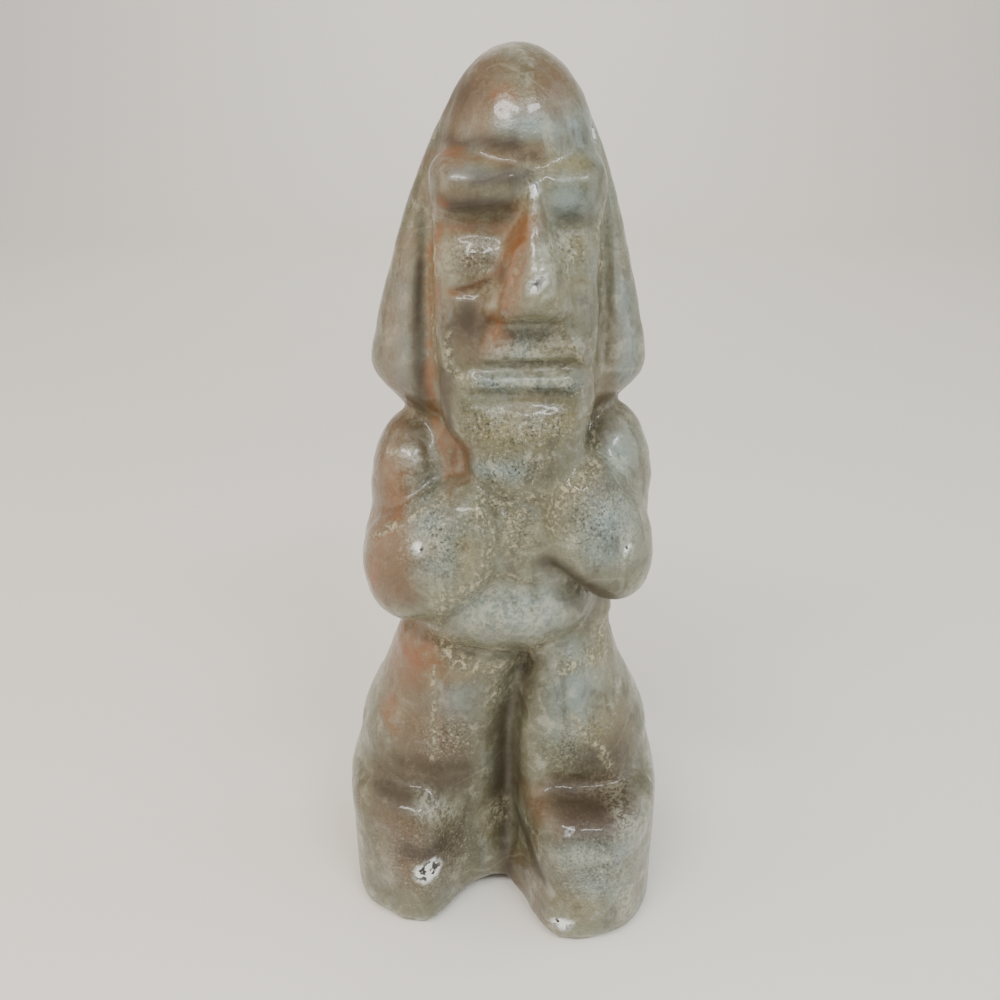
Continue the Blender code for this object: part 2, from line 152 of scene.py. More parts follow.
# The trunk
CHEST = ((0.0, 0.0335, 0.560), (0.118, 0.088, 0.130))
THROAT = ((0.018, -0.050, 0.535), (0.046, 0.048, 0.056))
BREAST = ((0.010, -0.0305, 0.500), (0.080, 0.056, 0.070))
BACK = ((0.0, 0.0535, 0.480), (0.118, 0.075, 0.220))
WAIST = ((0.008, 0.018, 0.398), (0.121, 0.075, 0.065))
BELLY = ((-0.004, -0.0165, 0.434), (0.108, 0.082, 0.062))
SHOULDERS = (((-0.099, 0.0155, 0.553), (0.048, 0.070, 0.088)),
             ((0.114, 0.0155, 0.565), (0.051, 0.070, 0.088)))

# The folded forearms: outlines as x and z in thousandths of the height, and how deep they are
FOREARMS = (
    (-17, 612, -84, 582, -140, 552, -160, 522, -165, 488, -158, 452, -138, 424, -105, 416, -70, 424,
     -4, 478, 14, 530),
    (89, 630, 126, 602, 156, 566, 169, 530, 172, 495, 165, 467, 148, 448, 118, 444, 58, 488, 26, 535,
     40, 604),
)
FOREARM_FRONT = -0.120
FOREARM_BACK = 0.045
FOREARM_ROUNDING = 0.052
FOREARM_CORNER = 0.030
FOREARM_SWEEP = 0.30
FIST_MIDDLE = (-0.045, 0.070)

# The legs: points along each with the radius there
LEGS = (
    (((-0.058, 0.013, 0.340), 0.074), ((-0.084, 0.027, 0.220), 0.088), ((-0.094, 0.0375, 0.120), 0.092)),
    (((0.060, 0.013, 0.340), 0.074), ((0.086, 0.027, 0.220), 0.088), ((0.094, 0.0375, 0.120), 0.092)),
)
SEAT = ((0.0, 0.0535, 0.300), (0.135, 0.078, 0.130))

# The feet: outlines on the ground as x and y in thousandths of the height
FEET = (
    (-190, 120, -194, -30, -179, -74, -152, -98, -119, -114, -82, -113, -60, -86, -39, -60, -22, -38,
     -16, 120),
    (2, 120, 6, -30, 17, -60, 41, -116, 66, -140, 137, -133, 176, -98, 194, -47, 190, 120),
)
FOOT_HEIGHT = 0.190
FOOT_SUNK = 0.012
FOOT_ROUNDING = 0.034
FOOT_CORNER = 0.016
WEB = ((-0.085, -0.054, 0.023), (0.050, 0.1035, 0.372))
WEB_ROUNDING = (0.012, 0.020)
INNER_THIGH = ((0.013, -0.059, 0.023), (0.085, 0.1035, 0.360))
INNER_ROUNDING = (0.014, 0.008)

# The groove between the legs at the back, like those in front
BACK_GROOVE = (0, 12, 14, 0, 330, 0, 200, 0, 20)

# Where a cut from in front fades out toward the middle, and where one from behind sets in
FRONT_FADE = (-0.03, 0.0)
BACK_FADE = (0.03, 0.06)

# How softly forms melt into each other and how softly their edges turn, from crisp to broad
CRISP_MELT = 0.008
LEG_MELT = 0.009
PLAIN_MELT = 0.010
SOFT_MELT = 0.012
ROUND_MELT = 0.014
WIDE_MELT = 0.020
BROAD_MELT = 0.030
SWEEP_SOFTNESS = 0.02
STROKE_START = -0.02

# Tables in thousandths of the height are divided by this
THOUSAND = 1000

# The grid of the carved surface: its coarse size, the spine that its rays start from, and the rays' steps
COARSE_TURNS = 40
COARSE_CLIMBS = 38
SPINE_BACK = 0.030
SPINE_LOW = 0.120
SPINE_HIGH = 0.860
POLE_SHARE = 0.14
RAY_STEP = 0.004
RAY_STEPS = 90

# How the grid settles on the skin: rounds and ease at each fineness, and the last rounds
SETTLING = ((40, 0.5), (16, 0.5), (8, 0.4), (4, 0.25))
LAST_ROUNDS = 2
LONGEST_MOVE = 0.012
LEAST_STEEPNESS = 0.05
SLOPE_STEP = 0.0006
TINY = 1e-9


def lump(p, form):
    """Distance to an egg: with the point scaled to a unit ball, k0 (k0 - 1) / k1, where k0 is the
    scaled point's length and k1 the length when it is scaled twice."""
    centre, radii = np.array(form[0]), np.array(form[1])
    q = (p - centre) / radii
    k0 = np.linalg.norm(q, axis=1)
    k1 = np.linalg.norm(q / radii, axis=1)
    return k0 * (k0 - 1.0) / np.maximum(k1, TINY)


def limb(p, start, end, start_radius, end_radius):
    """Distance to a tapered limb: distance to its axis, less a radius that runs evenly along it."""
    start, end = np.array(start), np.array(end)
    along = end - start
    share = np.clip((p - start) @ along / (along @ along), 0.0, 1.0)
    nearest = start + share[:, None] * along
    return np.linalg.norm(p - nearest, axis=1) - (start_radius + (end_radius - start_radius) * share)


def past_faces(q):
    """Distance to a corner from how far each point is past its faces: straight across outside, and to
    the nearest face inside."""
    return np.linalg.norm(np.maximum(q, 0), axis=1) + np.minimum(q.max(axis=1), 0)


def block(p, low, high, rounding, corner):
    """Distance to a box whose upright edges are rounded by corner and whose other edges by rounding."""
    low, high = np.array(low), np.array(high)
    q = np.abs(p - (low + high) / 2) - (high - low) / 2
    plan = past_faces(q[:, :2] + corner) - corner
    return past_faces(np.stack((plan, q[:, 2]), axis=1) + rounding) - rounding


def melt(first, second, width):
    """The nearer of two distances, rounded off by a parabola where they differ by less than width."""
    overlap = np.maximum(width - np.abs(first - second), 0.0) / width
    return np.minimum(first, second) - overlap ** 2 * width / 4


def bulge(p, form):
    """A soft swelling seen from in front: height times exp(-(x / half width)^2 - (z / half height)^2)."""
    (x, z), (wide, high), height = form
    return height * np.exp(-((p[:, 0] - x) / wide) ** 2 - ((p[:, 2] - z) / high) ** 2)


def pillow(p, form, softness):
    """A flat swelling seen from in front: height times a smooth step in from each of its four edges."""
    (x, z), (wide, high), height = form
    across = ramp(wide - np.abs(p[:, 0] - x), -softness[0], softness[0])
    upward = ramp(high - np.abs(p[:, 2] - z), -softness[1], softness[1])
    return height * across * upward


def stroke(p, course, width, fade=0.0):
    """A soft line seen from in front: exp(-(distance to the course in x and z / width) squared), which
    fades out toward both ends over the given share of the course's length. The course and the width are
    in thousandths of the height."""
    q = p[:, [0, 2]]
    points = np.reshape(course, (-1, 2)) / THOUSAND
    lengths = np.linalg.norm(points[1:] - points[:-1], axis=1)
    nearest = np.full(len(p), np.inf)
    travelled = np.zeros(len(p))
    for start, end, before, length in zip(points[:-1], points[1:], np.cumsum(lengths) - lengths, lengths):
        share = np.clip((q - start) @ (end - start) / length ** 2, 0.0, 1.0)
        reach = np.linalg.norm(q - start - share[:, None] * (end - start), axis=1)
        travelled = np.where(reach < nearest, (before + share * length) / lengths.sum(), travelled)
        nearest = np.minimum(nearest, reach)
    line = np.exp(-(nearest / (width / THOUSAND)) ** 2)
    if fade > 0:
        line *= ramp(np.minimum(travelled, 1 - travelled), STROKE_START, fade)
    return line


def raised(p, row):
    """How far a ridge stands out, or how deep a groove is, at each point."""
    fade, height, width, *course = row
    return height / THOUSAND * stroke(p, course, width, fade)


def slab(q, across, outline, low, high, rounding, corner):
    """Distance to a slab with a rounding outline: the outline's distance is the farthest of its edges'
    half planes, softened over corner, and it is joined to the slab's two faces by a quarter round."""
    edge = None
    points = np.reshape(outline, (-1, 2)) / THOUSAND
    first, second = points[1] - points[0], points[2] - points[1]
    turn = first[0] * second[1] - first[1] * second[0]
    for start, end in zip(points, np.roll(points, -1, axis=0)):
        along = (end - start) / np.linalg.norm(end - start)
        outward = np.array((along[1], -along[0])) * np.sign(turn)
        plane = (q - start) @ outward
        edge = plane if edge is None else -melt(-edge, -plane, corner)
    faces = np.abs(across - (low + high) / 2) - (high - low) / 2
    return past_faces(np.stack((edge, faces), axis=1) + rounding) - rounding


def ramp(values, low, high):
    """0 below low, 1 above high, and a smooth step between."""
    share = np.clip((values - low) / (high - low), 0.0, 1.0)
    return share * share * (3 - 2 * share)


def hood(p):
    """The hood: a bullet whose top falls from its tip by a power of the distance from its leaning axis,
    squeezed front to back, with a sloping underside down to the neck."""
    q = p - np.array(HOOD_FOOT)
    x = q[:, 0] - HOOD_DRIFT * q[:, 2]
    y = q[:, 1] * math.cos(HOOD_LEAN) + q[:, 2] * math.sin(HOOD_LEAN)
    height = q[:, 2] * math.cos(HOOD_LEAN) - q[:, 1] * math.sin(HOOD_LEAN) + HOOD_WIDEST
    reach = np.hypot(x, y / HOOD_DEPTH_RATIO)
    squeeze = np.hypot(x, y / HOOD_DEPTH_RATIO ** 2) / np.maximum(reach, TINY)
    rise = HOOD_TIP - HOOD_WIDEST
    share = reach / HOOD_HALF_WIDTH
    fall = HOOD_POWER * rise / HOOD_HALF_WIDTH * share ** (HOOD_POWER - 1) * squeeze
    top = (height - HOOD_TIP + rise * share ** HOOD_POWER) / np.hypot(1.0, fall)
    under = (HOOD_HALF_WIDTH - HOOD_NECK_HALF_WIDTH) / (HOOD_WIDEST - HOOD_UNDERSIDE)
    sloping = (reach - HOOD_HALF_WIDTH + under * (HOOD_WIDEST - height)) / np.hypot(under, squeeze)
    shell = -melt(-top, -sloping, ROUND_MELT)
    return -melt(-shell, height - HOOD_UNDERSIDE, PLAIN_MELT)


def face_relief(p):
    """How far the features stand out of the face panel, seen from in front."""
    relief = pillow(p, CHIN_BAND, CHIN_SOFTNESS) + bulge(p, MUZZLE)
    for form in BROWS:
        relief += pillow(p, form, BROW_SOFTNESS)
    for form in EYES + CHEEKS:
        relief += bulge(p, form)
    for ridge in RIDGES:
        relief += raised(p, ridge)
    return relief + upper_lip(p)


def upper_lip(p):
    """The raised apron from the nose to the mouth: it widens evenly as it falls, with soft edges."""
    fall = (LIP_TOP[1] - p[:, 2]) / (LIP_TOP[1] - LIP_FOOT[1])
    middle = LIP_TOP[0] + (LIP_FOOT[0] - LIP_TOP[0]) * fall
    half_width = LIP_TOP[2] + (LIP_FOOT[2] - LIP_TOP[2]) * fall
    across = ramp(half_width - np.abs(p[:, 0] - middle), -LIP_SIDE_SOFTNESS, LIP_SIDE_SOFTNESS)
    return LIP_HEIGHT * across * ramp(fall, *LIP_TOP_FADE) * ramp(1.0 - fall, *LIP_FOOT_FADE)


def face_panel(p):
    """The face: a rounded block turned slightly, whose sides draw in by a square toward the chin and
    toward the temples, with its relief."""
    low, high = np.array(FACE_LOW), np.array(FACE_HIGH)
    middle = (low + high) / 2
    q = p - middle
    x = q[:, 0] * math.cos(FACE_TURN) + q[:, 1] * math.sin(FACE_TURN)
    y = q[:, 1] * math.cos(FACE_TURN) - q[:, 0] * math.sin(FACE_TURN)
    drop = np.clip((JAW_TOP - p[:, 2]) / (JAW_TOP - FACE_LOW[2]), 0, NARROWING_LIMIT)
    rise = np.clip((p[:, 2] - TEMPLE_FOOT) / (FACE_HIGH[2] - TEMPLE_FOOT), 0, NARROWING_LIMIT)
    x = x / (1 - JAW_NARROWING * drop ** 2 - TEMPLE_NARROWING * rise ** 2)
    panel = block(np.stack((x, y, q[:, 2]), axis=1) + middle, low, high, FACE_ROUNDING, FACE_ROUNDING)
    return panel - face_relief(p) * ramp(-p[:, 1], *FACE_DEPTHS)


def nose(p):
    """The nose: a tent over a sloping ridge, each side with its own slope, cut back to a flat front that
    widens from the root to the base, and nearly level below."""
    height, middle, front, cut = np.array(NOSE[::-1]).T
    off = p[:, 0] - np.interp(p[:, 2], height, middle)
    front = np.interp(p[:, 2], height, front)
    ridge = front - np.interp(p[:, 2], height, cut)
    slope = np.where(off < 0, NOSE_SLOPES[0], NOSE_SLOPES[1])
    tent = (np.abs(off) - slope * (p[:, 1] - ridge)) / np.hypot(1.0, slope)
    tent = -melt(-tent, -(front - p[:, 1]), CRISP_MELT)
    under = (height[0] - p[:, 2] - NOSE_UNDERCUT * (p[:, 1] - front)) / math.hypot(1.0, NOSE_UNDERCUT)
    ends = np.maximum(under, p[:, 2] - height[-1])
    return -melt(-tent, -np.maximum(ends, p[:, 1] - NOSE_BACK), PLAIN_MELT)


def head(p):
    """The hood, the cap, whose edge droops by a square toward the sides, the nape, and the face with
    its chin and nose."""
    edge = CAP_EDGE - CAP_DROOP * (p[:, 0] - CAP[0][0]) ** 2
    cap = -melt(-lump(p, CAP), p[:, 2] - edge, SOFT_MELT)
    stone = melt(hood(p), cap, CRISP_MELT)
    stone = melt(stone, lump(p, NAPE), WIDE_MELT)
    face = melt(face_panel(p), lump(p, CHIN), ROUND_MELT)
    face = melt(face, nose(p), PLAIN_MELT)
    return melt(stone, face, PLAIN_MELT)


def trunk(p):
    """The chest, the throat, the breast, the back and the belly."""
    stone = lump(p, CHEST)
    for form in (BACK, BREAST, THROAT, WAIST):
        stone = melt(stone, lump(p, form), WIDE_MELT)
    return melt(stone, lump(p, BELLY), SOFT_MELT)


def arms(p):
    """The shoulders and the folded forearms, whose outlines sweep back toward the elbows."""
    stone = melt(lump(p, SHOULDERS[0]), lump(p, SHOULDERS[1]), WIDE_MELT)
    for outline, middle in zip(FOREARMS, FIST_MIDDLE):
        outside = np.maximum((p[:, 0] - middle) * np.sign(middle), 0.0)
        away = np.hypot(outside, SWEEP_SOFTNESS) - SWEEP_SOFTNESS
        across = p[:, 1] - FOREARM_SWEEP * away
        lobe = slab(p[:, [0, 2]], across, outline, FOREARM_FRONT, FOREARM_BACK, FOREARM_ROUNDING,
                    FOREARM_CORNER)
        stone = melt(stone, lobe, PLAIN_MELT)
    return stone


def legs(p):
    """The legs, the seat, the feet and the web of stone left between them. The web runs on softly from
    the figure's right leg, and the left one, flat inside, meets it at a corner."""
    limbs = []
    for course, outline in zip(LEGS, FEET):
        shoe = slab(p[:, :2], p[:, 2], outline, -FOOT_SUNK, FOOT_HEIGHT, FOOT_ROUNDING, FOOT_CORNER)
        for (start, start_radius), (end, end_radius) in zip(course[:-1], course[1:]):
            shoe = melt(shoe, limb(p, start, end, start_radius, end_radius), BROAD_MELT)
        limbs.append(shoe)
    soft = melt(limbs[0], block(p, *WEB, *WEB_ROUNDING), BROAD_MELT)
    crisp = melt(limbs[1], block(p, *INNER_THIGH, *INNER_ROUNDING), BROAD_MELT)
    return melt(melt(soft, lump(p, SEAT), WIDE_MELT), crisp, LEG_MELT)


def groove_depth(p):
    """How deep the carver's grooves go at each point, from in front and from behind."""
    depth = np.zeros(len(p))
    for groove in GROOVES:
        depth += raised(p, groove)
    return depth * ramp(-p[:, 1], *FRONT_FADE) + raised(p, BACK_GROOVE) * ramp(p[:, 1], *BACK_FADE)


def carving(p):
    """The whole carving field: distance to the stone's skin, negative inside, cut flat at the soles."""
    stone = melt(trunk(p), legs(p), PLAIN_MELT)
    stone = melt(stone, arms(p), PLAIN_MELT)
    stone = melt(stone, head(p), SOFT_MELT)
    stone = stone + groove_depth(p)
    return -melt(-stone, p[:, 2], SOFT_MELT)


def value_and_slope(p):
    """The field at each point, and its gradient by differences along the three axes."""
    value = carving(p)
    ahead = [carving(p + SLOPE_STEP * axis) for axis in np.eye(3)]
    return value, np.stack([(there - value) / SLOPE_STEP for there in ahead], axis=1)


def first_grid():
    """A coarse grid of rays from a spine inside the stone, each stopped where it first leaves the stone.
    The rays fan up from straight below, climb level along the spine, and fan up to the tip."""
    climb = np.linspace(0.0, 1.0, COARSE_CLIMBS + 1)
    turn = np.linspace(0.0, math.tau, COARSE_TURNS, endpoint=False)
    tilt = np.pi / 2 * (np.clip((climb - 1 + POLE_SHARE) / POLE_SHARE, 0, 1)
                        - np.clip((POLE_SHARE - climb) / POLE_SHARE, 0, 1))
    level = np.clip((climb - POLE_SHARE) / (1 - 2 * POLE_SHARE), 0, 1)
    height = SPINE_LOW + (SPINE_HIGH - SPINE_LOW) * level
    tilts, turns = np.meshgrid(tilt, turn, indexing="ij")
    ways = np.stack((np.cos(tilts) * np.sin(turns), -np.cos(tilts) * np.cos(turns), np.sin(tilts)), axis=2)
    starts = np.zeros_like(ways)
    starts[..., 1] = SPINE_BACK
    starts[..., 2] = height[:, None]
    ways, starts = ways.reshape(-1, 3), starts.reshape(-1, 3)
    reach = np.zeros(len(ways))
    going = np.ones(len(ways), bool)
    for _ in range(RAY_STEPS):
        going &= carving(starts + ways * reach[:, None]) < 0
        reach[going] += RAY_STEP
    return (starts + ways * reach[:, None]).reshape(COARSE_CLIMBS + 1, COARSE_TURNS, 3)


def settle(grid, rounds, ease):
    """Spread the points evenly and pull them back onto the skin, again and again: each point moves
    part of the way to its neighbours' mean, then along the field's slope to the zero level."""
    rows, turns, _ = grid.shape
    for _ in range(rounds):
        if ease > 0:
            mean = (np.roll(grid, 1, axis=1) + np.roll(grid, -1, axis=1))[1:-1] + grid[:-2] + grid[2:]
            grid[1:-1] += ease * (mean / 4 - grid[1:-1])
            grid[0] = grid[1].mean(axis=0)
            grid[-1] = grid[-2].mean(axis=0)
        flat = grid.reshape(-1, 3)
        value, slope = value_and_slope(flat)
        steep = np.maximum((slope ** 2).sum(axis=1), LEAST_STEEPNESS)
        move = (value / steep)[:, None] * slope
        length = np.linalg.norm(move, axis=1, keepdims=True)
        flat = flat - move * np.minimum(1.0, LONGEST_MOVE / np.maximum(length, TINY))
        grid = flat.reshape(rows, turns, 3)
    return grid


def doubled(grid):
    """The grid with a point added between each pair of neighbours, round and up."""
    around = np.empty((grid.shape[0], grid.shape[1] * 2, 3))
    around[:, 0::2] = grid
    around[:, 1::2] = (grid + np.roll(grid, -1, axis=1)) / 2
    upward = np.empty((around.shape[0] * 2 - 1, around.shape[1], 3))
    upward[0::2] = around
    upward[1::2] = (around[:-1] + around[1:]) / 2
    return upward


def skin_grid():
    """The finished grid of points on the stone's skin, coarse first and doubled until it is fine."""
    grid = settle(first_grid(), *SETTLING[0])
    for rounds, ease in SETTLING[1:]:
        grid = settle(doubled(grid), rounds, ease)
    return settle(grid, LAST_ROUNDS, 0.0)


def grid_mesh(name, grid):
    """A closed mesh from a grid: rows of four-sided faces, and a fan of triangles at each pole."""
    rows, turns, _ = grid.shape
    ring = grid[1:-1].reshape(-1, 3)
    points = np.vstack((ring, grid[0, :1], grid[-1, :1]))
    index = np.arange(len(ring)).reshape(rows - 2, turns)
    after = np.roll(index, -1, axis=1)
    quads = np.stack((index[:-1], after[:-1], after[1:], index[1:]), axis=2).reshape(-1, 4)
    bottom, top = len(ring), len(ring) + 1
    fans = [np.stack((np.full(turns, bottom), after[0], index[0]), axis=1),
            np.stack((np.full(turns, top), index[-1], after[-1]), axis=1)]
    corners = np.concatenate([quads.ravel()] + [fan.ravel() for fan in fans]).astype(np.int32)
    sizes = np.concatenate((np.full(len(quads), 4), np.full(2 * turns, 3))).astype(np.int32)
    mesh = bpy.data.meshes.new(name)
    mesh.vertices.add(len(points))
    mesh.vertices.foreach_set("co", points.astype(np.float32).ravel())
    mesh.loops.add(len(corners))
    mesh.loops.foreach_set("vertex_index", corners)
    mesh.polygons.add(len(sizes))
    starts = np.concatenate(([0], np.cumsum(sizes)[:-1])).astype(np.int32)
    mesh.polygons.foreach_set("loop_start", starts)
    mesh.update(calc_edges=True)
    mesh.validate()
    mesh.shade_smooth()
    return mesh


# The finish of the stone. The lattice that noise is drawn on repeats after so many cells
LATTICE_CELLS = 64


def lattice(points, size, seed):
    """Smooth noise from -1 to 1: random values on a lattice of the given cell size, joined across each
    cell by smooth steps."""
    chance = np.random.default_rng(seed).uniform(-1.0, 1.0, (LATTICE_CELLS,) * 3)
    scaled = points / size
    base = np.floor(scaled).astype(int)
    part = scaled - base
    part = part * part * (3 - 2 * part)
    total = np.zeros(len(points))
    for corner in range(8):
        step = np.array(((corner >> 2) & 1, (corner >> 1) & 1, corner & 1))
        weight = np.where(step, part, 1 - part).prod(axis=1)
        cell = (base + step) % LATTICE_CELLS
        total += weight * chance[cell[:, 0], cell[:, 1], cell[:, 2]]
    return total


def clouds(points, size, seed, layers=3):
    """Layers of lattice noise, each half the size and half the strength of the one before."""
    total = np.zeros(len(points))
    for layer in range(layers):
        total += lattice(points, size / 2 ** layer, seed + layer) / 2 ** layer
    return total


# Stains, crust and speckle, with painted shade, painted warm light and painted highlight glints among them,
# seen from in front: half width, then x and z of each point of the course, in thousandths of the height
STAINS = {
    # Orange-brown stain on the face; on the left hip, thigh, forearm and shoulder, painted warm light
    "rust_and_painted_warm_light": (
        (13.5, 20, 860, 6, 821, -7, 760, -11, 744), (7.2, -47, 848, 3, 849),
        (5.5, -55, 789, -27, 796, -1, 811), (5.8, -56, 871, -70, 812, -73, 747, -74, 666, -61, 592),
        (7.7, -6, 957, 6, 957), (7, -49, 909, -38, 910), (30, -130, 345, -96, 372),
        (14, -112, 590, -112, 573), (7, -140, 510, -142, 470), (11, -133, 286, -133, 265),
        (13.4, -49, 629, -51, 600), (7.3, -104, 556, -140, 529),
    ),
    # Tan stain; the large tan patches on the left side are partly painted warm light
    "tan": (
        (22.6, -105, 820, -113, 635), (51.5, -90, 344, -93, 221), (47.6, -112, 163, -115, 99),
        (38.6, -34, 958, -34, 959), (34.5, -43, 880, -43, 881), (26.1, -32, 783, -32, 742),
        (27.4, -127, 600, -126, 546), (23, -131, 520, -133, 478), (9.1, -81, 904, 31, 911),
        (19.3, 69, 189, 128, 185), (26.1, 48, 966, 48, 967), (17, 30, 174, 50, 186),
        (28, -34, 822, -34, 823), (28, -120, 358, -120, 359), (24, -106, 535, -109, 478),
        (14, 12, 838, -8, 768), (28, -122, 540, -128, 475),
    ),
    # Brown stain, and painted shade: below the brows, in the band under the cap, in the groove between the
    # legs, under the right forearm, inside the left flap and in the creases on the feet
    "umber_stain_and_painted_shade": (
        (24.1, -142, 193, -59, 196), (24.1, 73, 191, 141, 190), (8.7, -51, 870, 5, 870),
        (8, -56, 918, 7, 921), (21.7, -45, 964, -44, 961),
        (12.4, 34, 356, 8, 286, -4, 211, 1, 101, 6, 24), (12.5, 46, 512, 89, 491, 115, 464),
        (7.2, -6, 815, -6, 810), (8.1, -82, 805, -88, 730, -88, 636), (31, 105, 229, 125, 224),
        (16.8, -124, 217, -52, 220), (2.6, 14, 803, 7, 788), (19.8, 2, 255, 2, 151),
        (16.8, -112, 132, -75, 116), (9.8, 46, 86, 21, 128), (6.9, -26, 892, 19, 891),
        (20.5, -32, 765, -32, 761), (7.9, -57, 709, -55, 633),
    ),
    "blue": (
        (29.8, -25, 452, 39, 449), (24.2, -76, 557, -77, 523), (28, 106, 561, 106, 544),
        (16, 0, 739, 12, 739), (12.1, 123, 778, 128, 691), (20, 75, 933, 80, 933),
        (25.5, 78, 347, 80, 276), (18.7, 126, 615, 126, 612), (32, 93, 155, 131, 148),
        (26, 105, 105, 125, 85), (9, -15, 702, 66, 702), (11.8, -20, 613, 12, 618),
        (15.8, 52, 871, 63, 871), (8.6, -42, 895, -18, 895), (12, -103, 784, -106, 688),
        (27.7, -56, 313, -56, 314), (8.7, 1, 934, 61, 933),
    ),
    "yellow": (
        (19.5, -19, 660, 60, 659), (10.3, 43, 741, 56, 741), (8.2, 56, 801, 67, 795),
        (14.5, 58, 829, 69, 829), (17.6, -9, 133, -9, 109), (26.3, 88, 66, 107, 64),
        (16.3, 117, 407, 117, 358), (5.2, -27, 906, 71, 905), (8.9, 49, 793, 49, 786),
        (11.4, -91, 345, -31, 352), (10.1, -34, 543, -34, 510), (30.8, 114, 259, 114, 260),
    ),
    "crust": (
        (9, -80, 400, -58, 366, -15, 356, 21, 354, 46, 401), (6.5, -59, 490, -69, 429, -58, 371),
        (4.1, -55, 493, -14, 499, 30, 484), (13.2, 16, 581, 12, 532), (9.1, -10, 581, 40, 582),
        (7.1, -24, 584, -10, 542, -22, 498, -66, 470), (7.1, 44, 552, 58, 596, 94, 617),
        (18.8, -4, 313, -4, 314), (4.7, 83, 294, 105, 253, 131, 210), (12.6, -9, 133, -9, 109),
        (3.7, 93, 877, 89, 842, 94, 801), (2.3, 45, 795, 56, 755, 86, 706),
        (3.3, -51, 750, -50, 716, -39, 703), (3.1, -61, 580, -105, 554, -138, 529),
        (2.4, -62, 833, -68, 775, -69, 717), (2.9, -79, 358, -84, 230), (3, 22, 895, 28, 860),
        (4, 92, 676, 90, 620), (10.5, 116, 383, 116, 358), (9.2, 64, 359, 112, 363),
    ),
    # Pale frost and mottling, and painted highlight glints: on the nose tip, the lower lip, the chin's
    # edge, the left shoulder's ridge and the top edges of the feet
    "frost_and_painted_highlight": (
        (8.6, 30, 821, 31, 805), (5.7, 3, 704, 56, 704), (9.1, -90, 536, -84, 537),
        (9.1, 126, 543, 126, 524), (15.2, 143, 173, 162, 162), (14.5, 69, 36, 73, 39),
        (12.2, 148, 76, 150, 29), (10.7, -94, 180, -65, 159), (2.9, 23, 634, 47, 635),
        (15.4, 34, 412, 57, 400), (9, -40, 470, 10, 478), (24, -30, 452, 36, 449),
        (12, -4, 738, 46, 737), (10, 85, 146, 125, 141), (4.2, -120, 609, -98, 612),
        (9, 46, 837, 54, 835),
    ),
    "speckle": (
        (21.6, -12, 616, 23, 618), (40.1, -72, 558, -72, 544), (43.5, 93, 574, 93, 566),
        (18.4, 14, 566, 14, 530), (19.8, -32, 823, -21, 823), (55.4, -97, 114, -79, 101),
        (56, 112, 141, 113, 116), (44.9, 91, 244, 91, 239), (18.7, 3, 742, 45, 741),
        (9.6, -29, 703, 80, 696), (21.5, -23, 660, 55, 660), (18.1, 59, 833, 59, 820),
        (35.4, -63, 257, -63, 258), (12, -36, 470, -10, 475),
    ),
}

# Chips: radius and middle, in thousandths of the height
CHIPS = (
    (19.5, -90, -110, 93), (7.5, 31, -131, 807), (8.5, 84, -18, 926), (6.5, 90, -37, 911),
    (7.5, -87, -108, 537), (5, 28, -93, 884), (11, 71, -136, 36), (5.5, 127, -103, 534),
    (5, 78, -131, 178),
)

# How ragged the borders of stains and chips are: how far noise moves them, its cell size and its seed
STAIN_BORDER = (0.004, 0.030, 100)
STAIN_SEED_STEP = 20
CHIP_BORDER = (0.22, 0.010, 41)
CHIP_EDGE = (-1.05, -0.75)
STAIN_FADE = (-0.06, 0.0)

# The small relief, in shares of the height: height, cell size and seed of its noise
UNEVEN_RELIEF = ((0.0013, 0.050, 11), (0.0005, 0.013, 21))
GRAIN_RELIEF = (0.0007, 0.0065, 51)
CRUST_RELIEF = (0.0012, 0.009, 31)
CRUST_LUMPS = (-0.2, 0.7)
CHIP_DEPTH = 0.0014
SOLE_FADE = (0.001, 0.012)

# Sheltered places: how far out the skin is felt for, and from and to what share of shelter counts
# The finish paints shade into the sheltered places, and crust into the hollows
SHELTER = {"hollow": (0.016, 0.05, 0.9), "deep": (0.040, 0.10, 0.9)}


def stained(p, courses, place):
    """The strongest of soft strokes seen from in front, from 0 to 1, with borders made ragged by moving
    each point a little by noise first."""
    shift, size, seed = STAIN_BORDER
    seed += STAIN_SEED_STEP * place
    moved = p.copy()
    moved[:, 0] += shift * clouds(p, size, seed)
    moved[:, 2] += shift * clouds(p, size, seed + STAIN_SEED_STEP // 2)
    strongest = np.zeros(len(p))
    for width, *course in courses:
        strongest = np.maximum(strongest, stroke(moved, course, width))
    return strongest * ramp(-p[:, 1], *STAIN_FADE)


def chipped(p):
    """Where the stone was struck, from 0 to 1: balls round the chips' middles, ragged by noise."""
    near = np.full(len(p), np.inf)
    for radius, *middle in CHIPS:
        away = np.linalg.norm(p - np.array(middle) / THOUSAND, axis=1)
        near = np.minimum(near, away / (radius / THOUSAND))
    shift, size, seed = CHIP_BORDER
    return ramp(-near - shift * clouds(p, size, seed), *CHIP_EDGE)


def small_relief(p, marks):
    """How far the worked surface stands out from the smooth field: broad unevenness from the carver's
    hand, fine unevenness, crust where dirt has set, a rough grain, and shallow chips."""
    uneven = sum(height * clouds(p, size, seed) for height, size, seed in UNEVEN_RELIEF)
    height, size, seed = GRAIN_RELIEF
    grain = height * clouds(p, size, seed) * np.maximum(marks["speckle"], marks["crust"])
    height, size, seed = CRUST_RELIEF
    crust = height * marks["crust"] * ramp(clouds(p, size, seed), *CRUST_LUMPS)
    return uneven + grain + crust - CHIP_DEPTH * marks["chip"]


